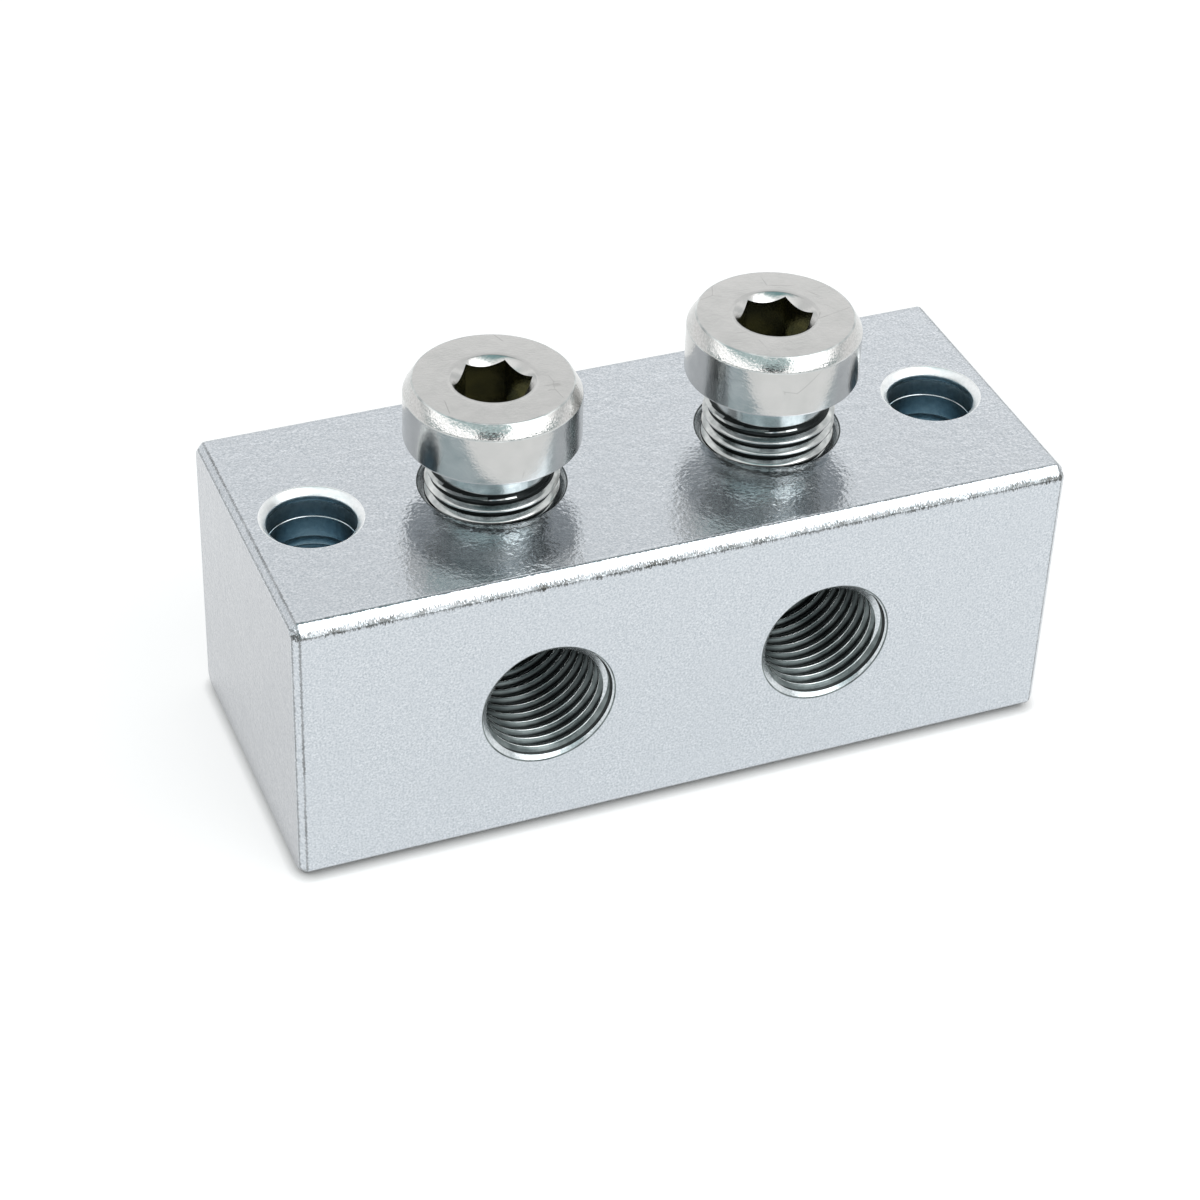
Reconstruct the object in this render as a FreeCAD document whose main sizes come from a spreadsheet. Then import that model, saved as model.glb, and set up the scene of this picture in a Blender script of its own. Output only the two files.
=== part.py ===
import FreeCAD, Part
import Sketcher
import os

from FreeCAD import Rotation, Vector

# Driving dimensions in millimetres and degrees, and how far the plugs are unscrewed, in turns
DIMENSIONS = {
    # Block, sawn from rectangular bar
    "block_length": 60,
    "block_depth": 25,
    "block_height": 23,
    "edge_break": 0.75,
    # Mounting holes, drilled right through near the ends
    "hole_inset": 5.25,
    "hole_bore": 6.6,
    "hole_rim_width": 0.55,
    # Threads, plain at their outer size, the stub smaller than the port all round
    "thread_size": 10,
    "thread_pitch": 1,
    "thread_clearance": 0.05,
    # Ports in the top for the plugs, each drilled until it breaks into an outlet in the front
    "port_spacing": 22,
    "port_rim_width": 0.5,
    "port_stop": 1.5,
    "outlet_height": 11.5,
    "outlet_rim_width": 0.15,
    "outlet_overrun": 0.5,
    "rim_angle": 90,
    "drill_angle": 118,
    # Plug, turned from round bar: head, neck and threaded stub
    "head_overhang": 1.5,
    "head_height": 4.9,
    "head_break_width": 0.65,
    "head_break_height": 1.05,
    "head_foot_break": 0.25,
    "stub_length": 8,
    "stub_lead": 0.6,
    "neck_cut": 0.75,
    "neck_length": 2,
    # Hexagon socket in the head
    "socket_width": 5,
    "socket_depth": 4,
    "socket_rim_width": 0.6,
    # Where the plugs stand
    "left_turns_out": 4,
    "right_turns_out": 5,
    "left_socket_turn": 53,
    "right_socket_turn": 51,
}

doc = FreeCAD.newDocument("grease_nipple_block")


def make_sheet():
    """Write the driving dimensions to the sheet that everything below is bound to."""
    sheet = doc.addObject("Spreadsheet::Sheet", "sizes")
    for row, (name, value) in enumerate(DIMENSIONS.items(), start=1):
        sheet.set(f"A{row}", name)
        sheet.set(f"B{row}", str(value))
        sheet.setAlias(f"B{row}", name)
    doc.recompute()


def bind(item, **formulas):
    """Bind properties of an object to the sheet."""
    for name, formula in formulas.items():
        item.setExpression(name, formula)


def plane_sketch(body, name, role, offset=None):
    """Open a sketch on an origin plane of the body, or at an offset from it."""
    sketch = body.newObject("Sketcher::SketchObject", name)
    plane = next(item for item in body.Origin.OriginFeatures if item.Role == role)
    sketch.AttachmentSupport = [(plane, "")]
    sketch.MapMode = "FlatFace"
    if offset:
        sketch.setExpression("AttachmentOffset.Base.z", offset)
    return sketch


def size(sketch, formula, kind, *where):
    """Add one dimension to a sketch, bound to the sheet."""
    index = sketch.addConstraint(Sketcher.Constraint(kind, *where, 1.0))
    sketch.setExpression(f"Constraints[{index}]", formula)


def locate(sketch, geometry, point, across, up):
    """Dimension a point from the sketch's origin, or hold it on an axis where that is 0."""
    # In a sketch -1 is the x axis, whose point 1 is the origin, and -2 is the y axis
    for kind, formula, axis in (("DistanceX", across, -2), ("DistanceY", up, -1)):
        if formula == "0":
            sketch.addConstraint(Sketcher.Constraint("PointOnObject", geometry, point, axis))
        else:
            size(sketch, formula, kind, -1, 1, geometry, point)


def ring_of_lines(sketch, count):
    """Draw lines end to end in a closed ring of unit radius, for dimensions to reshape."""
    turn = Rotation(Vector(0, 0, 1), 360 / count)
    start = Vector(1, 0, 0)
    for i in range(count):
        end = turn.multVec(start)
        sketch.addGeometry(Part.LineSegment(start, end))
        start = end
    # Point 1 of a line is its start and point 2 its end
    for i in range(count):
        sketch.addConstraint(Sketcher.Constraint("Coincident", i, 2, (i + 1) % count, 1))


def outline(sketch, corners):
    """Draw a closed outline through corners, each given as two formulas."""
    ring_of_lines(sketch, len(corners))
    for i, (across, up) in enumerate(corners):
        locate(sketch, i, 1, across, up)


def unit_circle(sketch, middle, construction=False):
    """Draw a circle for a dimension to resize, and return its number."""
    return sketch.addGeometry(Part.Circle(middle, Vector(0, 0, 1), 1), construction)


def drill(body, name, sketch, **formulas):
    """Drill a countersunk hole at each circle of a sketch, into the solid below it."""
    doc.recompute()
    hole = body.newObject("PartDesign::Hole", name)
    hole.Profile = sketch
    hole.HoleCutType = "Countersink"
    if "Depth" in formulas:
        hole.DepthType = "Dimension"
        hole.DrillPoint = "Angled"
        bind(hole, DrillPointAngle="sizes.drill_angle")
    else:
        hole.DepthType = "ThroughAll"
    bind(hole, HoleCutCountersinkAngle="sizes.rim_angle", **formulas)
    doc.recompute()
    return hole


def hole_pair(body, name, role, offset, from_middle, up):
    """A sketch with a hole's centre each side of the middle."""
    sketch = plane_sketch(body, name, role, offset)
    for side in (-1, 1):
        circle = unit_circle(sketch, Vector(3 * side, 0, 0))
        # Point 3 of a circle is its centre
        locate(sketch, circle, 3, f"{side} * ({from_middle})", up)
    return sketch


def make_block():
    """The block: bar with broken edges, two mounting holes, and two ports that turn a corner."""
    body = doc.addObject("PartDesign::Body", "block")
    half_length, half_depth = "sizes.block_length / 2", "sizes.block_depth / 2"
    footprint = plane_sketch(body, "footprint", "XY_Plane")
    outline(footprint, [
        (f"-{half_length}", f"-{half_depth}"),
        (half_length, f"-{half_depth}"),
        (half_length, half_depth),
        (f"-{half_length}", half_depth),
    ])
    bar = body.newObject("PartDesign::Pad", "bar")
    bar.Profile = footprint
    bind(bar, Length="sizes.block_height")

    broken_edges = body.newObject("PartDesign::Chamfer", "broken_edges")
    broken_edges.Base = (bar, [""])
    broken_edges.UseAllEdges = True
    bind(broken_edges, Size="sizes.edge_break")

    top = "sizes.block_height"
    hole_centres = hole_pair(body, "hole_centres", "XY_Plane", top,
                             f"{half_length} - sizes.hole_inset", "0")
    holes = drill(body, "mounting_holes", hole_centres,
                  Diameter="sizes.hole_bore",
                  HoleCutDiameter="sizes.hole_bore + 2 * sizes.hole_rim_width")
    rims = body.newObject("PartDesign::Chamfer", "lower_rims")
    rims.Base = (holes, lower_rings(holes.Shape))
    bind(rims, Size="sizes.hole_rim_width")

    port_centres = hole_pair(body, "port_centres", "XY_Plane", top,
                             "sizes.port_spacing / 2", "0")
    drill(body, "ports", port_centres,
          Diameter="sizes.thread_size",
          HoleCutDiameter="sizes.thread_size + 2 * sizes.port_rim_width",
          Depth="sizes.block_height - sizes.outlet_height - sizes.port_stop")

    outlet_centres = hole_pair(body, "outlet_centres", "XZ_Plane", half_depth,
                               "sizes.port_spacing / 2", "sizes.outlet_height")
    drill(body, "outlets", outlet_centres,
          Diameter="sizes.thread_size",
          HoleCutDiameter="sizes.thread_size + 2 * sizes.outlet_rim_width",
          Depth="sizes.block_depth / 2 + sizes.outlet_overrun")
    return body


def lower_rings(shape):
    """Names of the round edges in the block's underside."""
    names = []
    for number, edge in enumerate(shape.Edges, start=1):
        flat = edge.BoundBox.ZMax < 0.001
        if flat and isinstance(edge.Curve, Part.Circle):
            names.append(f"Edge{number}")
    return names


def make_plug(name, side, turns_out, socket_turn):
    """A hexagon socket plug, drawn with the foot of its head at z = 0, unscrewed in its port."""
    body = doc.addObject("PartDesign::Body", name)
    crown = "sizes.head_height"
    head = "(sizes.thread_size / 2 + sizes.head_overhang)"
    neck = "(sizes.thread_size / 2 - sizes.neck_cut)"
    thread = "(sizes.thread_size / 2 - sizes.thread_clearance)"
    section = plane_sketch(body, f"{name}_section", "XZ_Plane")
    outline(section, [
        ("0", "-sizes.stub_length"),
        (f"{thread} - sizes.stub_lead", "-sizes.stub_length"),
        (thread, "-sizes.stub_length + sizes.stub_lead"),
        (thread, f"-sizes.neck_length - {thread} + {neck}"),
        (neck, "-sizes.neck_length"),
        (neck, "0"),
        (f"{head} - sizes.head_foot_break", "0"),
        (head, "sizes.head_foot_break"),
        (head, f"{crown} - sizes.head_break_height"),
        (f"{head} - sizes.head_break_width", crown),
        ("0", crown),
    ])
    turned = body.newObject("PartDesign::Revolution", f"{name}_turned")
    turned.Profile = section
    turned.ReferenceAxis = (section, ["V_Axis"])
    turned.Angle = 360

    pilot_centre = plane_sketch(body, f"{name}_pilot_centre", "XY_Plane", crown)
    locate(pilot_centre, unit_circle(pilot_centre, Vector()), 3, "0", "0")
    drill(body, f"{name}_pilot", pilot_centre,
          Diameter="sizes.socket_width",
          HoleCutDiameter="sizes.socket_width + 2 * sizes.socket_rim_width",
          Depth="sizes.socket_depth")

    hexagon = plane_sketch(body, f"{name}_hexagon", "XY_Plane", crown)
    draw_hexagon(hexagon, "sizes.socket_width")
    socket = body.newObject("PartDesign::Pocket", f"{name}_socket")
    socket.Profile = hexagon
    bind(socket, Length="sizes.socket_depth")

    bind(body, **{
        "Placement.Base.x": f"{side}sizes.port_spacing / 2",
        "Placement.Base.z": f"sizes.block_height + {turns_out} * sizes.thread_pitch",
        "Placement.Rotation.Angle": f"{socket_turn} * 1 deg",
    })
    return body


def draw_hexagon(sketch, width):
    """A regular hexagon on the sketch's origin, width across its flats, one corner on the x axis."""
    sides = 6
    ring_of_lines(sketch, sides)
    corners = unit_circle(sketch, Vector(), construction=True)
    locate(sketch, corners, 3, "0", "0")
    for i in range(sides):
        sketch.addConstraint(Sketcher.Constraint("PointOnObject", i, 1, corners))
        if i:
            sketch.addConstraint(Sketcher.Constraint("Equal", 0, i))
    sketch.addConstraint(Sketcher.Constraint("PointOnObject", 0, 1, -1))
    size(sketch, f"{width} / cos(180 deg / {sides})", "Diameter", corners)


def check(bodies):
    """Stop if a feature failed, cut nothing, or left a bad solid."""
    for item in doc.Objects:
        if {"Invalid", "Error"} & set(item.State):
            raise RuntimeError(f"{item.Label} failed")
    for body in bodies:
        if body.Shape.isNull() or not body.Shape.isValid() or len(body.Shape.Solids) != 1:
            raise RuntimeError(f"{body.Label} is not one good solid")
        volumes = [step.Shape.Volume for step in body.Group if hasattr(step, "BaseFeature")]
        for before, after in zip(volumes, volumes[1:]):
            if after >= before:
                raise RuntimeError(f"a cut in {body.Label} removes nothing")


make_sheet()
bodies = [
    make_block(),
    make_plug("left_plug", "-", "sizes.left_turns_out", "sizes.left_socket_turn"),
    make_plug("right_plug", "", "sizes.right_turns_out", "sizes.right_socket_turn"),
]
doc.recompute()
check(bodies)
os.makedirs("parts", exist_ok=True)
for body in bodies:
    body.Shape.exportStep(f"parts/{body.Label}.step")
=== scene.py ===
import math

import bmesh
import bpy
from mathutils import Matrix, Vector


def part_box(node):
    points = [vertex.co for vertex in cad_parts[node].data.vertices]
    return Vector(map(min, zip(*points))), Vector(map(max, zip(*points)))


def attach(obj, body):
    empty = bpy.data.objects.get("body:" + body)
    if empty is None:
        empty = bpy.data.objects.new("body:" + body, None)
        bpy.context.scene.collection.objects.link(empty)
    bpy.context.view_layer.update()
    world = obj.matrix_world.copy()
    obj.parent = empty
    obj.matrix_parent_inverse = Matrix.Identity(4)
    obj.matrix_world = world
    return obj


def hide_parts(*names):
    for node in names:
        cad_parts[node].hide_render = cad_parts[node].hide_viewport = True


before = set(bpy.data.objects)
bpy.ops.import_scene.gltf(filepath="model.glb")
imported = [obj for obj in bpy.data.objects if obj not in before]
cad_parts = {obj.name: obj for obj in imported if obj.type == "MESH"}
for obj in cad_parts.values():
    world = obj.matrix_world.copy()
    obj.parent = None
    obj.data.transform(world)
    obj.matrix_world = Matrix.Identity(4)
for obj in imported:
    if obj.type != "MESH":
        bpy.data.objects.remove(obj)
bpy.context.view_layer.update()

# Block: one length of drawn steel bar, its edges broken and its faces left as drawn, zinc plated
# all over after machining. Two clearance holes go right through it, two ports are tapped in the
# top and two outlets in the front. Everything here is drawn in millimetres and scaled at the end.
MILLIMETRE = 0.001
BLOCK_LENGTH, BLOCK_DEPTH, BLOCK_HEIGHT = 60.0, 25.0, 23.0
LONG_BREAK = 0.85
END_BREAK = 0.5
EDGE_ROUND = 0.14
CREASE = math.radians(32)
LARGE_FACE_WEIGHT = 90

HOLE_SIDE = 24.75
HOLE_RADIUS = 3.3
HOLE_RIM = 0.5
RIM_ROUND = 0.06
# Rings that the drill left in a mounting hole, as (height under the top, depth)
BORE_RINGS = ((-4.85, 0.018), (-4.1, 0.012), (-2.3, 0.032), (-0.95, 0.012))
RING_HALF_WIDTH, RING_HALF_FLOOR = 0.07, 0.03

PORT_SIDE = 11.0
PORT_DEPTH = 10.0
PORT_RIM = 5.5
OUTLET_HEIGHT = 11.5
OUTLET_DEPTH = 13.0
OUTLET_RIM = 5.15
OUTLET_START = math.radians(80)
CONE_DEPTH = 1.3
# How far the taps, the drills and the other tools stand out of the face that they cut
TAP_OVERSHOOT = 1.2
DRILL_OVERSHOOT = 0.5
TOOL_OVERSHOOT = 0.4

PITCH = 1.0
TAPPED_CREST = 4.459
TAPPED_ROOT = 5.0
CREST_BAND, ROOT_BAND = 0.03, 0.13
RUN_OUT = 1.5
DRILL_POINT = math.radians(59)

# How deep the zinc's crinkled skin is, and its tone along the edges and in the painted shade at the
# block's foot
CRINKLE = 0.026
EDGE_TONE = (0.06, 0.06, 0.055)

# Half a turn of the tapped groove as (height, radius), from the crest below it to its root
TAPPED_TURN = [
    (-0.43, TAPPED_CREST),
    (-0.37, TAPPED_CREST + 0.035),
    (-0.25, TAPPED_CREST + 0.218),
    (-0.16, TAPPED_CREST + 0.374),
    (-0.08, TAPPED_ROOT - 0.028),
    (-0.03, TAPPED_ROOT),
]
# The other half is the same, mirrored
TAPPED_TURN += [(-height, radius) for height, radius in reversed(TAPPED_TURN)]


def add_piece(name, drawing):
    """Make a piece of a finished drawing and add it to the scene."""
    mesh = bpy.data.meshes.new(name)
    drawing.to_mesh(mesh)
    drawing.free()
    piece = bpy.data.objects.new(name, mesh)
    bpy.context.collection.objects.link(piece)
    return piece


def turned(name, foot, top, thread=None, columns=96, turn=0.0):
    """A solid of revolution about z, from rows of (radius, height). A thread between its foot and
    its top is given as one turn of it, where it starts and ends, and a limit to its radius."""
    drawing = bmesh.new()
    angles = [2 * math.pi * i / columns + turn for i in range(columns)]

    def point(angle, radius, height):
        return drawing.verts.new((radius * math.cos(angle), radius * math.sin(angle), height))

    def ring(radius, height):
        if radius == 0:
            return [point(0, 0, height)] * columns
        return [point(angle, radius, height) for angle in angles]

    def face(*corners):
        distinct = dict.fromkeys(corners)
        if len(distinct) > 2:
            drawing.faces.new(distinct)

    def join(lower, upper):
        for i in range(columns):
            j = (i + 1) % columns
            face(lower[i], lower[j], upper[j], upper[i])

    rings = [ring(*row) for row in foot]
    if thread:
        shape, start, end, limit = thread
        first = ring(limit(start, 0), start)
        last = ring(limit(end, 0), end)
        steps = len(shape)
        # The thread is wound over spare turns at both ends, and what lies outside is pressed flat
        spare_turns = 2
        base = math.floor(start / PITCH) - spare_turns
        turns = math.ceil(end / PITCH) + spare_turns - base
        grid = []
        for row in range(turns * steps):
            revolution, step = divmod(row, steps)
            offset, radius = shape[step]
            line = []
            for i, angle in enumerate(angles):
                height = (base + revolution + i / columns) * PITCH + offset
                if height <= start:
                    line.append(first[i])
                elif height >= end:
                    line.append(last[i])
                else:
                    line.append(point(angle, limit(height, radius), height))
            grid.append(line)
        for row, (lower, upper) in enumerate(zip(grid, grid[1:])):
            for i in range(columns - 1):
                face(lower[i], lower[i + 1], upper[i + 1], upper[i])
            # A row ends where the row one turn above it begins
            over = grid[min(row + steps, len(grid) - 1)][0]
            above = grid[min(row + steps + 1, len(grid) - 1)][0]
            face(lower[-1], over, above, upper[-1])
        join(rings[-1], first)
        for lower, upper in zip(rings, rings[1:]):
            join(lower, upper)
        rings = [last]
    rings += [ring(*row) for row in top]
    for lower, upper in zip(rings, rings[1:]):
        join(lower, upper)

    bmesh.ops.recalc_face_normals(drawing, faces=drawing.faces)
    return add_piece(name, drawing)


def cut(piece, cutters):
    """Cut each cutter out of the piece, in turn, and keep only the piece."""
    for cutter in cutters:
        step = piece.modifiers.new(cutter.name, "BOOLEAN")
        step.object = cutter
        step.operation = "DIFFERENCE"
        step.solver = "EXACT"
        step.material_mode = "TRANSFER"
    shape = piece.evaluated_get(bpy.context.evaluated_depsgraph_get())
    mesh = bpy.data.meshes.new_from_object(shape)
    piece.modifiers.clear()
    piece.data = mesh
    for cutter in cutters:
        bpy.data.objects.remove(cutter)


def finish_shape(piece):
    """Bring a piece to metres, smooth its rounded edges and keep its flats flat."""
    piece.data.transform(Matrix.Scale(MILLIMETRE, 4))
    for face in piece.data.polygons:
        face.use_smooth = True
    piece.data.set_sharp_from_angle(angle=CREASE)
    weighted = piece.modifiers.new("even_normals", "WEIGHTED_NORMAL")
    weighted.keep_sharp = True
    weighted.weight = LARGE_FACE_WEIGHT


def paint(piece, finishes, choose):
    """Give each face of a turned shape the finish that its radius and height choose."""
    for finish in finishes:
        piece.data.materials.append(finish)
    for face in piece.data.polygons:
        face.material_index = choose(math.hypot(face.center.x, face.center.y), face.center.z)
    return piece


def tapped_hole(name, depth):
    """A drill and tap standing in the face at z = 0, with the thread running out near the point."""
    def limit(height, radius):
        fade = min(1, (height + depth) / RUN_OUT)
        return TAPPED_CREST + max(0, radius - TAPPED_CREST) * fade

    # The crests take the painted highlight, the flanks and the run-out near the point the painted
    # shade, and the roots the darkest painted shade
    def depth_in_groove(radius, height):
        if radius > TAPPED_ROOT - ROOT_BAND:
            return 2
        return int(radius > TAPPED_CREST + CREST_BAND or height < RUN_OUT - depth)

    point = -depth - TAPPED_CREST / math.tan(DRILL_POINT)
    tap = turned(name, [(0, point)], [(0, TAP_OVERSHOOT)],
                 (TAPPED_TURN, -depth, TAP_OVERSHOOT, limit))
    return paint(tap, (bright_crests_painted_highlight, dark_flanks_painted_shade, darkest_roots_painted_shade), depth_in_groove)


def countersink(name, rim):
    """A 90 degree countersink standing in the face at z = 0, its rim a little rounded."""
    cone = turned(
        name,
        [(0, -CONE_DEPTH), (rim - CONE_DEPTH, -CONE_DEPTH)],
        [
            (rim - RIM_ROUND, -RIM_ROUND),
            (rim + 0.04, 0),
            (rim + 1, TOOL_OVERSHOOT),
            (0, TOOL_OVERSHOOT),
        ],
    )
    # The rounded strip at the rim takes the dark zinc of the flanks: a painted shade line
    return paint(cone, (countersinks, dark_flanks_painted_shade),
                 lambda radius, height: int(-RIM_ROUND < height < 0))


def through_hole(name):
    """A drill for a mounting hole, with both rims broken and thin rings left in the bore."""
    bottom = -BLOCK_HEIGHT
    rim = HOLE_RADIUS + HOLE_RIM
    # How far the small rounds at a rim's foot and at its mouth reach sideways
    foot_round, mouth_round = 0.05, 0.05
    wall = [(HOLE_RADIUS, bottom + HOLE_RIM + 0.04)]
    for ring, deep in BORE_RINGS:
        wall += [
            (HOLE_RADIUS, ring - RING_HALF_WIDTH),
            (HOLE_RADIUS + deep, ring - RING_HALF_FLOOR),
            (HOLE_RADIUS + deep, ring + RING_HALF_FLOOR),
            (HOLE_RADIUS, ring + RING_HALF_WIDTH),
        ]
    wall.append((HOLE_RADIUS, -HOLE_RIM - 0.04))

    # The rims take the near-white zinc of painted highlight, the bore the darker, bluer zinc of
    # painted shade and its rings the countersinks' zinc
    def zone(radius, height):
        if height > -HOLE_RIM or height < bottom + HOLE_RIM:
            return 0
        return 2 if radius > HOLE_RADIUS + 0.01 else 1

    drill = turned(
        name,
        [
            (0, bottom - DRILL_OVERSHOOT),
            (rim + 1, bottom - DRILL_OVERSHOOT),
            (rim + mouth_round, bottom),
        ],
        [
            (rim - RIM_ROUND, bottom + RIM_ROUND),
            (HOLE_RADIUS + foot_round, bottom + HOLE_RIM - foot_round),
            *wall,
            (HOLE_RADIUS + foot_round, -HOLE_RIM + foot_round),
            (rim - RIM_ROUND, -RIM_ROUND),
            (rim + mouth_round, 0),
            (rim + 1, DRILL_OVERSHOOT),
            (0, DRILL_OVERSHOOT),
        ],
    )
    return paint(drill, (rims, bore, countersinks), zone)


def bar(name, size):
    """A bar standing on z = 0: long edges broken, ends broken less, and all a little rounded."""
    drawing = bmesh.new()
    bmesh.ops.create_cube(drawing, size=1)
    bmesh.ops.scale(drawing, verts=drawing.verts, vec=size)
    bmesh.ops.translate(drawing, verts=drawing.verts, vec=(0, 0, size[2] / 2))
    nearly_whole = 0.9 * size[0]
    long_edges = [edge for edge in drawing.edges if edge.calc_length() > nearly_whole]
    bmesh.ops.bevel(drawing, geom=long_edges, offset=LONG_BREAK, segments=1,
                    profile=0.5, affect="EDGES")
    end_edges = [edge for edge in drawing.edges if edge.calc_length() < nearly_whole]
    bmesh.ops.bevel(drawing, geom=end_edges, offset=END_BREAK, segments=1,
                    profile=0.5, affect="EDGES")
    bmesh.ops.bevel(drawing, geom=drawing.edges[:], offset=EDGE_ROUND, segments=3,
                    profile=0.5, affect="EDGES", clamp_overlap=True)
    return add_piece(name, drawing)


def new_finish(name, roughness):
    """A bare metal surface, with its shader and its place on the piece."""
    finish = bpy.data.materials.new(name)
    finish.use_nodes = True
    nodes = finish.node_tree.nodes
    shader = nodes["Principled BSDF"]
    shader.inputs["Metallic"].default_value = 1.0
    shader.inputs["Roughness"].default_value = roughness
    place = nodes.new("ShaderNodeTexCoord").outputs["Object"]
    return finish, shader, place


def grain(finish, place, size, detail=2, roughness=0.5, stretch=None):
    """A noise whose lumps are about size millimetres across."""
    nodes, links = finish.node_tree.nodes, finish.node_tree.links
    if stretch:
        mapping = nodes.new("ShaderNodeMapping")
        mapping.inputs["Scale"].default_value = stretch
        links.new(place, mapping.inputs["Vector"])
        place = mapping.outputs["Vector"]
    noise = nodes.new("ShaderNodeTexNoise")
    noise.inputs["Scale"].default_value = 1 / (size * MILLIMETRE)
    noise.inputs["Detail"].default_value = detail
    noise.inputs["Roughness"].default_value = roughness
    links.new(place, noise.inputs["Vector"])
    return noise.outputs["Fac"]


def spread(finish, value, low, high, from_low=0.3, from_high=0.7):
    """Stretch the useful part of a noise to run from low to high."""
    nodes, links = finish.node_tree.nodes, finish.node_tree.links
    node = nodes.new("ShaderNodeMapRange")
    node.inputs["From Min"].default_value = from_low
    node.inputs["From Max"].default_value = from_high
    node.inputs["To Min"].default_value = low
    node.inputs["To Max"].default_value = high
    links.new(value, node.inputs["Value"])
    return node.outputs["Result"]


def blend(owner, value, first, second):
    """A colour between two others, by a value from 0 to 1, in a finish or in the room."""
    nodes, links = owner.node_tree.nodes, owner.node_tree.links
    node = nodes.new("ShaderNodeMix")
    node.data_type = "RGBA"
    for socket, colour in (("A", first), ("B", second)):
        target = next(s for s in node.inputs if s.name == socket and s.type == "RGBA")
        if isinstance(colour, tuple):
            target.default_value = (*colour, 1)
        else:
            links.new(colour, target)
    links.new(value, node.inputs["Factor"])
    return next(s for s in node.outputs if s.type == "RGBA")


def mottle(finish, shader, patches, dark, light):
    """Let the tone of a metal wander between two colours, by a noise."""
    tone = blend(finish, spread(finish, patches, 0, 1), dark, light)
    finish.node_tree.links.new(tone, shader.inputs["Base Color"])


def emboss(finish, shader, layers):
    """Raise the surface by each (height value, depth in millimetres), one on the other."""
    nodes, links = finish.node_tree.nodes, finish.node_tree.links
    normal = None
    for height, depth in layers:
        bump = nodes.new("ShaderNodeBump")
        bump.inputs["Distance"].default_value = depth * MILLIMETRE
        links.new(height, bump.inputs["Height"])
        if normal:
            links.new(normal, bump.inputs["Normal"])
        normal = bump.outputs["Normal"]
    links.new(normal, shader.inputs["Normal"])


def calculate(tree, operation, first, second=0.0):
    """Join two values, each a socket or a number, by one operation."""
    node = tree.nodes.new("ShaderNodeMath")
    node.operation = operation
    for socket, value in zip(node.inputs, (first, second)):
        if isinstance(value, (int, float)):
            socket.default_value = value
        else:
            tree.links.new(value, socket)
    return node.outputs[0]


def past_breaks(finish, place):
    """How far a point of the block's skin lies inside the breaks of its long and end edges, how
    far it lies on the side of the faces below a long edge, and how high it is."""
    tree = finish.node_tree
    parts = tree.nodes.new("ShaderNodeSeparateXYZ")
    tree.links.new(place, parts.inputs[0])
    inward = []
    for part, middle, half in (
        (parts.outputs["X"], 0.0, BLOCK_LENGTH / 2),
        (parts.outputs["Y"], 0.0, BLOCK_DEPTH / 2),
        (parts.outputs["Z"], BLOCK_HEIGHT / 2, BLOCK_HEIGHT / 2),
    ):
        across = calculate(tree, "SUBTRACT", calculate(tree, "DIVIDE", part, MILLIMETRE), middle)
        inward.append(calculate(tree, "SUBTRACT", half, calculate(tree, "ABSOLUTE", across)))
    x, y, z = inward
    from_long = calculate(tree, "MAXIMUM", y, z)
    from_end = calculate(tree, "MAXIMUM", x, calculate(tree, "MINIMUM", y, z))
    return (calculate(tree, "SUBTRACT", from_long, LONG_BREAK),
            calculate(tree, "SUBTRACT", from_end, END_BREAK),
            calculate(tree, "SUBTRACT", z, y),
            calculate(tree, "DIVIDE", parts.outputs["Z"], MILLIMETRE))


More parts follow.
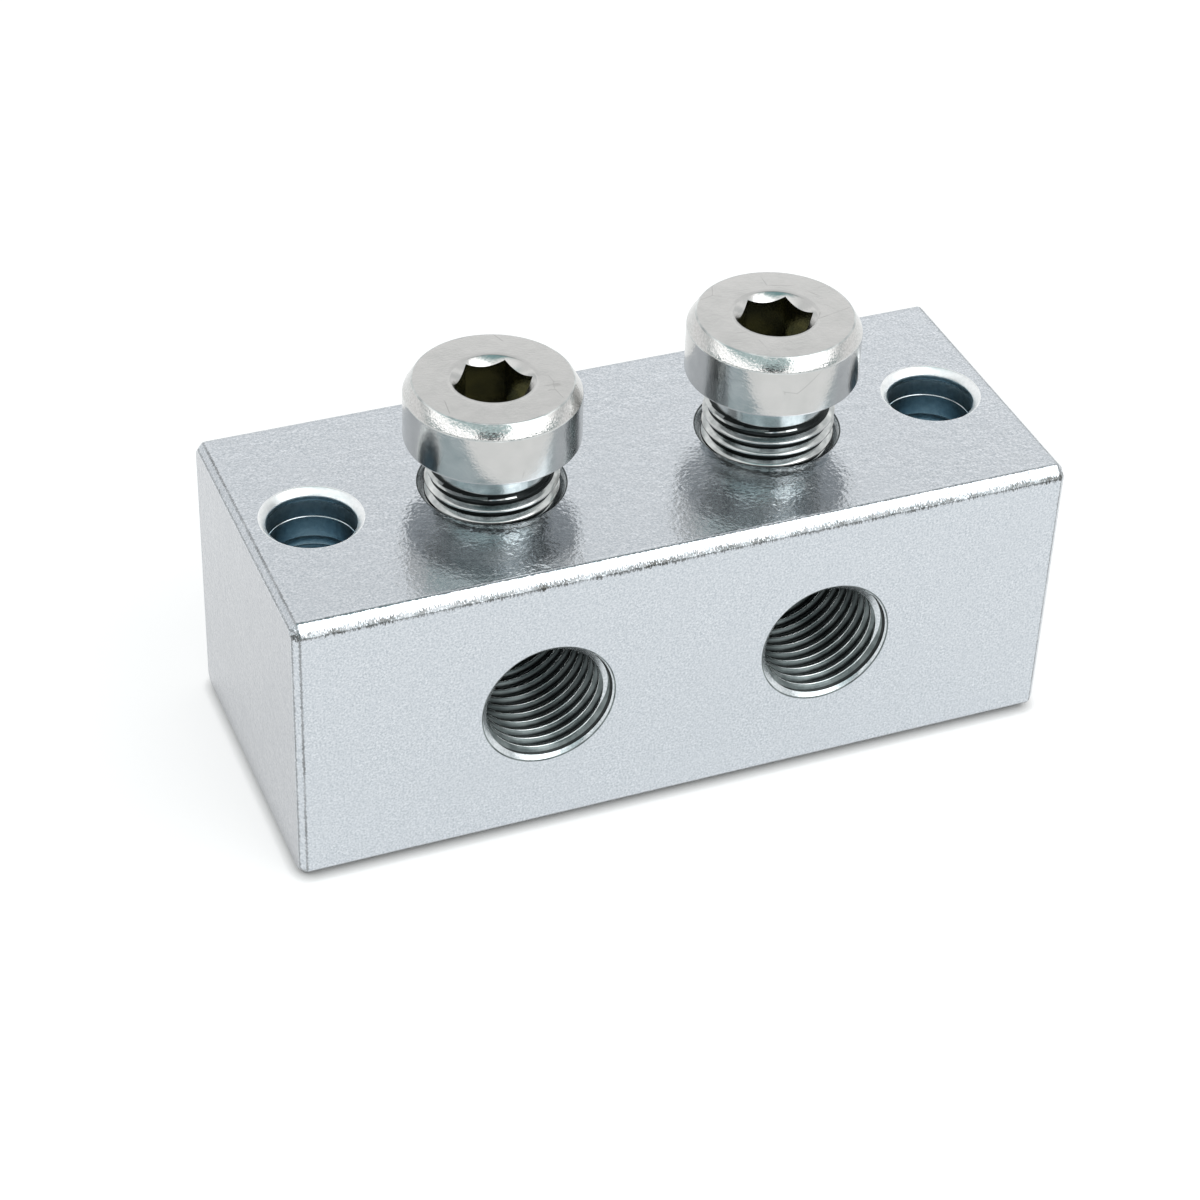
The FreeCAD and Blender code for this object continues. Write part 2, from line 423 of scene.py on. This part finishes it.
def zinc_plate(name, dark, light):
    """Clear zinc plate: fine speckle, faint clouds, a crinkled skin, dark lines at the edges and
    painted shade along the block's foot.
    """
    finish, shader, place = new_finish(name, 0.2)
    tree = finish.node_tree
    links = tree.links
    clouds = grain(finish, place, 4.0, detail=3)
    fine = grain(finish, place, 0.16, detail=3, roughness=0.6)
    tone = blend(finish, spread(finish, fine, 0, 1), dark, light)
    middle = tuple((a + b) / 2 for a, b in zip(dark, light))
    tone = blend(finish, spread(finish, clouds, 0, 0.35), tone, middle)

    # Dark lines where a break meets a face: a strong, jagged one under the top's long breaks, and
    # fainter ones along the ends and along every long edge. Each has its distance into the break,
    # how far out it lies, how far its teeth swing, its reach, its strength and its teeth's stretch
    inside_long, inside_end, below, height = past_breaks(finish, place)
    upper = spread(finish, height, 0, 1, BLOCK_HEIGHT / 2 - 1, BLOCK_HEIGHT / 2)
    under_break = calculate(tree, "MULTIPLY", upper, spread(finish, below, 0, 1, 0, 0.15))
    lines = []
    for inside, outward, swing, reach, strength, stretch in (
        (inside_long, 0.10, 0.20, 0.24, 1.0, (1.6, 0.5, 0.5)),
        (inside_end, 0.01, 0.06, 0.10, 0.7, None),
        (inside_long, 0.0, 0.02, 0.08, 0.4, None),
    ):
        teeth = spread(finish, grain(finish, place, 0.14, stretch=stretch),
                       outward - swing, outward + swing)
        off_line = calculate(tree, "ABSOLUTE", calculate(tree, "ADD", inside, teeth))
        lines.append(spread(finish, off_line, strength, 0, 0.4 * reach, reach))
    strong, at_ends, along_edges = lines
    strong = calculate(tree, "MULTIPLY", strong, under_break)
    line = calculate(tree, "MAXIMUM", strong, at_ends)
    line = calculate(tree, "MAXIMUM", line, along_edges)
    line = calculate(tree, "MULTIPLY", line, spread(finish, grain(finish, place, 1.5), 0.55, 1))
    # Painted shade: the block darkens towards its foot, standing in for the table's contact shadow
    # seen in its lower breaks
    foot_painted_shade = spread(finish, height, 0.8, 0, 0.45, 0.7)
    line = calculate(tree, "MAXIMUM", line, foot_painted_shade)
    links.new(blend(finish, line, tone, EDGE_TONE), shader.inputs["Base Color"])
    links.new(spread(finish, clouds, 0.11, 0.18), shader.inputs["Roughness"])

    lumps = grain(finish, place, 0.33)
    inside = calculate(tree, "MINIMUM", inside_long, inside_end)
    at_edges = calculate(tree, "MULTIPLY", lumps, spread(finish, inside, 1, 0, 0, 0.3))
    emboss(finish, shader, [
        (lumps, CRINKLE),
        (grain(finish, place, 1.3), 1.3 * CRINKLE),
        (at_edges, 0.03),
    ])
    return finish


zinc = zinc_plate("zinc_plating", (0.425, 0.465, 0.505), (0.76, 0.785, 0.815))
# Painted shade: the block's ends take a darker copy of the zinc
end_faces_painted_shade = zinc_plate("zinc_on_ends_painted_shade", (0.32, 0.341, 0.371), (0.58, 0.586, 0.604))

# Painted highlight: the mounting holes' rims take a near-white copy of the zinc
rims, shader, place = new_finish("zinc_on_hole_rims_painted_highlight", 0.38)
fine = grain(rims, place, 0.3, detail=3)
mottle(rims, shader, fine, (0.84, 0.86, 0.87), (0.97, 0.98, 0.98))

countersinks, shader, place = new_finish("zinc_on_countersinks", 0.24)
fine = grain(countersinks, place, 0.2, detail=3)
mottle(countersinks, shader, fine, (0.52, 0.56, 0.58), (0.74, 0.77, 0.79))
emboss(countersinks, shader, [(fine, 0.008)])

# Painted shade: the mounting holes' bores take a darker, bluer copy of the zinc
bore, shader, place = new_finish("zinc_in_bores_painted_shade", 0.28)
streaks = grain(bore, place, 0.35, detail=3)
mottle(bore, shader, streaks, (0.44, 0.57, 0.64), (0.60, 0.73, 0.79))
emboss(bore, shader, [(streaks, 0.012)])

# Painted highlight: the tapped threads' crests take a near-white copy of the zinc
bright_crests_painted_highlight, shader, place = new_finish("zinc_on_thread_crests_painted_highlight", 0.22)
film = grain(bright_crests_painted_highlight, place, 0.8)
mottle(bright_crests_painted_highlight, shader, film, (0.80, 0.84, 0.84), (0.97, 0.99, 0.99))

# Painted shade: the tapped threads' flanks, and the rounded strip at a countersink's rim, take a
# dark copy of the zinc, and the outlets' flanks darken further from the mouth inwards, where little
# light reaches them
MOUTH, DEEP = -BLOCK_DEPTH / 2, -8.0
dark_flanks_painted_shade, shader, place = new_finish("zinc_on_thread_flanks_painted_shade", 0.25)
film = grain(dark_flanks_painted_shade, place, 1.2, detail=3)
tone = blend(dark_flanks_painted_shade, spread(dark_flanks_painted_shade, film, 0, 1),
             (0.09, 0.108, 0.11), (0.25, 0.285, 0.285))
parts = dark_flanks_painted_shade.node_tree.nodes.new("ShaderNodeSeparateXYZ")
dark_flanks_painted_shade.node_tree.links.new(place, parts.inputs[0])
inward = spread(dark_flanks_painted_shade, parts.outputs["Y"], 0.0, 0.72,
                MOUTH * MILLIMETRE, DEEP * MILLIMETRE)
tone = blend(dark_flanks_painted_shade, inward, tone, (0.03, 0.036, 0.037))
dark_flanks_painted_shade.node_tree.links.new(tone, shader.inputs["Base Color"])

# Painted shade: the roots of the tapped threads and of the plugs' stubs take a nearly black copy of
# the zinc
darkest_roots_painted_shade, shader, place = new_finish("zinc_in_thread_roots_painted_shade", 0.35)
tone = blend(darkest_roots_painted_shade, grain(darkest_roots_painted_shade, place, 1.2),
             (0.015, 0.018, 0.018), (0.05, 0.055, 0.055))
darkest_roots_painted_shade.node_tree.links.new(tone, shader.inputs["Base Color"])

block = bar("zinc_block", (BLOCK_LENGTH, BLOCK_DEPTH, BLOCK_HEIGHT))
block.data.materials.append(zinc)
block.data.materials.append(end_faces_painted_shade)
# The ends take the darker zinc of painted shade
for face in block.data.polygons:
    is_end = abs(face.normal.x) > 0.99
    face.material_index = int(is_end)
top_face = Matrix.Translation((0, 0, BLOCK_HEIGHT))
front_face = Matrix.Translation((0, -BLOCK_DEPTH / 2, OUTLET_HEIGHT))
front_face @= Matrix.Rotation(math.pi / 2, 4, "X")
front_face @= Matrix.Rotation(OUTLET_START, 4, "Z")
cutters = []
for side, word in ((-1, "left"), (1, "right")):
    for cutter, face, across in (
        (through_hole(f"{word}_mounting_hole"), top_face, HOLE_SIDE),
        (tapped_hole(f"{word}_port", PORT_DEPTH), top_face, PORT_SIDE),
        (tapped_hole(f"{word}_outlet", OUTLET_DEPTH), front_face, PORT_SIDE),
        (countersink(f"{word}_port_rim", PORT_RIM), top_face, PORT_SIDE),
        (countersink(f"{word}_outlet_rim", OUTLET_RIM), front_face, PORT_SIDE),
    ):
        cutter.data.transform(Matrix.Translation((side * across, 0, 0)) @ face)
        cutters.append(cutter)
cut(block, cutters)
finish_shape(block)
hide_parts("block")
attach(block, "block")


# Plugs: two equal hexagon socket screw plugs, turned from steel bar, threaded and nickel plated.
# They stand a few turns unscrewed in the ports, the right one a turn further out than the left.
STUB_LENGTH = 8.0
STUB_LEAD = 0.6
NECK_LENGTH = 2.3
FLANK = math.radians(30)
NECK_RADIUS = 4.25
HEAD_RADIUS = 6.5
HEAD_HEIGHT = 4.9
SEAT_GAP = 0.02
CROWN_WIDTH, CROWN_HEIGHT = 0.65, 1.05
STUB_CREST = 4.95
STUB_ROOT = 4.39
SOCKET_FLAT = 2.5
SOCKET_CORNER = SOCKET_FLAT / math.cos(math.pi / 6)
SOCKET_MOUTH = 3.1
SOCKET_DEPTH = 4.0

# Half a turn of the stub's ridge as (height, radius), from the groove below it to its crest
STUB_TURN = [
    (-0.42, STUB_ROOT),
    (-0.385, STUB_ROOT + 0.01),
    (-0.29, STUB_CREST - 0.387),
    (-0.18, STUB_CREST - 0.196),
    (-0.082, STUB_CREST - 0.026),
    (-0.055, STUB_CREST),
]
# The other half is the same, mirrored
STUB_TURN += [(-height, radius) for height, radius in reversed(STUB_TURN)]


def stub_limit(height, radius):
    """Keep the thread inside the stub's lead at its tip and the cone that leads to its neck."""
    lead = STUB_CREST - STUB_LEAD + (height + STUB_LENGTH)
    shoulder = NECK_RADIUS - (NECK_LENGTH + height) / math.tan(FLANK)
    return min(radius or STUB_CREST, lead, shoulder)


def screw_plug(name, side, socket_turn):
    """A plug in its port, where the frame has it, with its socket cut last."""
    crown = HEAD_HEIGHT
    # Where the head's side ends and its crown begins, and where the crown meets its flat top
    side_end = crown - CROWN_HEIGHT
    top_start = HEAD_RADIUS - CROWN_WIDTH
    plug = turned(
        name,
        [(0, -STUB_LENGTH)],
        [
            (NECK_RADIUS, -0.12),
            (NECK_RADIUS + 0.04, -0.02),
            (NECK_RADIUS + 0.14, SEAT_GAP),
            (HEAD_RADIUS - 0.30, SEAT_GAP),
            (HEAD_RADIUS - 0.15, 0.06),
            (HEAD_RADIUS - 0.05, 0.13),
            (HEAD_RADIUS, 0.28),
            (HEAD_RADIUS, side_end - 0.06),
            (HEAD_RADIUS - 0.02, side_end + 0.02),
            (HEAD_RADIUS - 0.06, side_end + 0.10),
            (top_start + 0.06, crown - 0.09),
            (top_start, crown - 0.02),
            (top_start - 0.08, crown),
            (SOCKET_MOUTH + 0.3, crown),
            (0, crown),
        ],
        (STUB_TURN, -STUB_LENGTH, -NECK_LENGTH, stub_limit),
        columns=120,
    )

    # The stub's roots take the nearly black painted shade, and its flanks, the neck and thin rings
    # at the borders of the crown the darker nickel of painted shade
    def zone(radius, height):
        if height < -NECK_LENGTH:
            return 2 if radius < STUB_ROOT + 0.12 else int(radius < STUB_CREST - 0.04)
        side_line = radius > HEAD_RADIUS - 0.08 and abs(height - side_end) < 0.05
        top_line = abs(radius - top_start) < 0.05 and height > crown - 0.06
        if height < -0.02 or side_line or top_line:
            return 1
        return 3 if height > side_end and radius > top_start else 0

    paint(plug, (nickel, plug_flanks_in_painted_shade, darkest_roots_painted_shade, plug_chamfer), zone)
    point = -SOCKET_DEPTH - SOCKET_FLAT / math.tan(DRILL_POINT)
    pilot = turned(
        f"{name}_pilot",
        [(0, point), (SOCKET_FLAT, -SOCKET_DEPTH)],
        [
            (SOCKET_FLAT, SOCKET_FLAT - SOCKET_MOUTH),
            (SOCKET_MOUTH - 0.04, -0.04),
            (SOCKET_MOUTH + 0.04, 0),
            (SOCKET_MOUTH + 1, TOOL_OVERSHOOT),
            (0, TOOL_OVERSHOOT),
        ],
    )
    hexagon = turned(
        f"{name}_hexagon",
        [(0, -SOCKET_DEPTH)],
        [(SOCKET_CORNER, -SOCKET_DEPTH), (SOCKET_CORNER, TOOL_OVERSHOOT), (0, TOOL_OVERSHOOT)],
        columns=6,
        turn=math.radians(socket_turn),
    )
    for cutter in (pilot, hexagon):
        cutter.data.transform(Matrix.Translation((0, 0, crown)))
    pilot.data.materials.append(nickel)
    hexagon.data.materials.append(dark_socket)
    cut(plug, [pilot, hexagon])
    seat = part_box(name.replace("_screw", ""))[0][2] / MILLIMETRE + STUB_LENGTH
    plug.data.transform(Matrix.Translation((side * PORT_SIDE, 0, seat)))
    finish_shape(plug)
    return plug


nickel, shader, place = new_finish("nickel_plating", 0.14)
nickel_tree = nickel.node_tree
haze = grain(nickel, place, 1.6, detail=3)
tone = blend(nickel, spread(nickel, haze, 0, 1), (0.53, 0.53, 0.52), (0.59, 0.585, 0.575))
# Hairline scratches run along the borders of large cells, and only here and there
cells = nickel_tree.nodes.new("ShaderNodeTexVoronoi")
cells.feature = "DISTANCE_TO_EDGE"
cells.inputs["Scale"].default_value = 1 / (4.5 * MILLIMETRE)
nickel_tree.links.new(place, cells.inputs["Vector"])
borders = spread(nickel, cells.outputs["Distance"], 0.26, 0, 0.003, 0.010)
here = spread(nickel, grain(nickel, place, 2.5, detail=1), 0, 1, 0.57, 0.62)
tone = blend(nickel, calculate(nickel_tree, "MULTIPLY", borders, here), tone, (0.16, 0.16, 0.155))
nickel_tree.links.new(tone, shader.inputs["Base Color"])
nickel_tree.links.new(spread(nickel, haze, 0.14, 0.21), shader.inputs["Roughness"])
emboss(nickel, shader, [
    (grain(nickel, place, 0.22, detail=3), 0.009),
    (grain(nickel, place, 2.0), 0.022),
])

plug_chamfer, shader, place = new_finish("nickel_on_chamfer", 0.10)
marks = grain(plug_chamfer, place, 0.16)
mottle(plug_chamfer, shader, marks, (0.52, 0.52, 0.51), (0.66, 0.655, 0.645))
emboss(plug_chamfer, shader, [(marks, 0.014), (grain(plug_chamfer, place, 0.7), 0.012)])

# Painted shade: a darker, bluer copy of the nickel for the stub's flanks, the neck and thin rings
# at the borders of the crown
plug_flanks_in_painted_shade, shader, place = new_finish("nickel_on_plug_flanks_painted_shade", 0.14)
film = grain(plug_flanks_in_painted_shade, place, 1.2, detail=3)
mottle(plug_flanks_in_painted_shade, shader, film, (0.38, 0.40, 0.40), (0.68, 0.70, 0.69))

# The hexagon socket's walls are dark and yellowish
dark_socket, shader, place = new_finish("dark_hexagon_socket", 0.22)
film = grain(dark_socket, place, 1.5)
mottle(dark_socket, shader, film, (0.10, 0.105, 0.085), (0.24, 0.23, 0.13))

for word, side, socket_turn in (("left", -1, 53), ("right", 1, 51)):
    plug = screw_plug(f"{word}_screw_plug", side, socket_turn)
    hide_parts(f"{word}_plug")
    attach(plug, f"{word}_plug")


# Studio: a white table, seen as white wherever no shadow falls, in a room with a dim ceiling, a
# pale wall behind the block and soft lamps in front of it, either side of the dark camera stand.
FLOOR_RADIUS = 3.0
PAPER_GREY = 0.43
PAPER_GLOW = 0.63
CONTACT_SHADOW = 0.0009
VIEW_YAW = math.radians(-23.02)
SOFTBOX_PLACE = Vector((0.15, -0.28, 0.33))
SOFTBOX_AIM = Vector((0, 0, 0.015))
SOFTBOX_SIZE = 0.34
SOFTBOX_POWER = 0.60

drawing = bmesh.new()
bmesh.ops.create_circle(drawing, cap_ends=True, segments=64, radius=FLOOR_RADIUS)
floor = add_piece("white_table", drawing)
paper = bpy.data.materials.new("white_paper")
paper.use_nodes = True
tree = paper.node_tree
nodes, links = tree.nodes, tree.links
nodes.clear()
surface = nodes.new("ShaderNodeOutputMaterial")
matt = nodes.new("ShaderNodeBsdfDiffuse")
matt.inputs["Color"].default_value = (PAPER_GREY, PAPER_GREY, PAPER_GREY, 1)
glow = nodes.new("ShaderNodeEmission")
both = nodes.new("ShaderNodeAddShader")
rays = nodes.new("ShaderNodeLightPath").outputs
seen = calculate(tree, "MAXIMUM", rays["Is Camera Ray"], rays["Is Glossy Ray"])
seen = calculate(tree, "MAXIMUM", seen, rays["Is Transmission Ray"])
contact = nodes.new("ShaderNodeAmbientOcclusion")
contact.samples = 1
contact.inputs["Distance"].default_value = CONTACT_SHADOW
shade = calculate(tree, "MULTIPLY", seen, contact.outputs["AO"])
links.new(calculate(tree, "MULTIPLY", shade, PAPER_GLOW), glow.inputs["Strength"])
links.new(matt.outputs[0], both.inputs[0])
links.new(glow.outputs[0], both.inputs[1])
links.new(both.outputs[0], surface.inputs["Surface"])
floor.data.materials.append(paper)

# How bright the room is by height, as (sine of the height angle, brightness): the wall behind the
# block, and what stands in front of it, each with less red and green where it is dim
BRIGHTEST = 2.0
WALL = [(0.0, 1.0), (0.19, 1.0), (0.22, 0.80), (0.38, 0.86), (0.43, 1.2), (0.50, 1.2),
        (0.55, 0.93), (0.84, 0.93), (0.93, 0.45)]
WALL_RED, WALL_GREEN = 0.85, 0.98
FRONT = [(0.0, 1.0), (0.19, 0.95), (0.22, 0.15), (0.26, 0.15), (0.29, 1.8), (0.46, 1.8),
         (0.51, 0.76), (0.65, 0.76), (0.70, 1.35), (0.88, 1.35), (0.94, 0.45)]
FRONT_RED, FRONT_GREEN = 0.10, 0.95
# The camera stand: where its front, its sides, its foot and its head fade into the room
STAND_COLOUR = (0.025, 0.03, 0.032)
STAND_FRONT, STAND_SIDE = (0.2, 0.4), (0.20, 0.25)
STAND_FOOT, STAND_HEAD = (0.35, 0.39), (0.48, 0.50)

world = bpy.data.worlds.new("studio")
bpy.context.scene.world = world
world.use_nodes = True
tree = world.node_tree
nodes, links = tree.nodes, tree.links
sky = nodes["Background"]
direction = nodes.new("ShaderNodeTexCoord").outputs["Generated"]


def along(vector):
    """How far the direction looked in points along a vector."""
    node = nodes.new("ShaderNodeVectorMath")
    node.operation = "DOT_PRODUCT"
    node.inputs[1].default_value = vector
    links.new(direction, node.inputs[0])
    return node.outputs["Value"]


def bands(height, steps, red, green):
    """The room's colour by height, from steps of brightness and how red and green the dark is."""
    node = nodes.new("ShaderNodeValToRGB")
    ramp = node.color_ramp
    while len(ramp.elements) < len(steps):
        ramp.elements.new(0.5)
    for element, (place, level) in zip(ramp.elements, steps):
        grey = min(1, level)
        tint = (red + (1 - red) * grey, green + (1 - green) * grey, 1)
        element.position = place
        element.color = (*(level / BRIGHTEST * part for part in tint), 1)
    links.new(height, node.inputs["Fac"])
    return node.outputs["Color"]


def between(value, low, high):
    """0 below low, 1 above high, and smooth between them."""
    node = nodes.new("ShaderNodeMapRange")
    node.interpolation_type = "SMOOTHSTEP"
    node.inputs["From Min"].default_value = low
    node.inputs["From Max"].default_value = high
    links.new(value, node.inputs["Value"])
    return node.outputs["Result"]


height = along((0, 0, 1))
toward_stand = along((math.sin(VIEW_YAW), -math.cos(VIEW_YAW), 0))
beside_stand = calculate(tree, "ABSOLUTE", along((math.cos(VIEW_YAW), math.sin(VIEW_YAW), 0)))
wall = bands(height, WALL, WALL_RED, WALL_GREEN)
front = bands(height, FRONT, FRONT_RED, FRONT_GREEN)
stand = between(toward_stand, *STAND_FRONT)
for limit in (
    calculate(tree, "SUBTRACT", 1, between(beside_stand, *STAND_SIDE)),
    between(height, *STAND_FOOT),
    calculate(tree, "SUBTRACT", 1, between(height, *STAND_HEAD)),
):
    stand = calculate(tree, "MULTIPLY", stand, limit)
room = blend(world, between(toward_stand, -0.2, 0.3), wall, front)
room = blend(world, stand, room, STAND_COLOUR)
links.new(room, sky.inputs["Color"])
sky.inputs["Strength"].default_value = BRIGHTEST

lamp = bpy.data.lights.new("front_softbox", "AREA")
lamp.shape = "SQUARE"
lamp.size = SOFTBOX_SIZE
lamp.energy = SOFTBOX_POWER
softbox = bpy.data.objects.new("front_softbox", lamp)
softbox.location = SOFTBOX_PLACE
softbox.rotation_euler = (SOFTBOX_AIM - SOFTBOX_PLACE).to_track_quat("-Z", "Y").to_euler()
bpy.context.collection.objects.link(softbox)


# Camera: where the photograph was taken from, found from the block's edges and its holes' rims.
PITCH_DOWN, ROLL = math.radians(37.286), math.radians(2.304)
DISTANCE = 0.23613
TARGET = Vector((-0.002052, 0, 0.009774))
SENSOR_WIDTH = 36.0
PHOTO_WIDTH = 1200
FOCAL_LENGTH = 3086.5

back = Vector((
    math.sin(VIEW_YAW) * math.cos(PITCH_DOWN),
    -math.cos(VIEW_YAW) * math.cos(PITCH_DOWN),
    math.sin(PITCH_DOWN),
))
right = (-back).cross(Vector((0, 0, 1))).normalized()
up = right.cross(-back)
rolled_right = math.cos(ROLL) * right + math.sin(ROLL) * up
rolled_up = math.cos(ROLL) * up - math.sin(ROLL) * right
camera = bpy.data.objects.new("camera", bpy.data.cameras.new("camera"))
camera.data.sensor_width = SENSOR_WIDTH
# The focal length and the photo's width are both in pixels
camera.data.lens = FOCAL_LENGTH / PHOTO_WIDTH * SENSOR_WIDTH
camera.data.clip_start = 0.01
camera.data.clip_end = 20
camera.matrix_world = Matrix.Translation(TARGET + DISTANCE * back) @ Matrix(
    (rolled_right, rolled_up, back)).transposed().to_4x4()
bpy.context.collection.objects.link(camera)
bpy.context.scene.camera = camera
bpy.context.scene.view_settings.view_transform = "Standard"
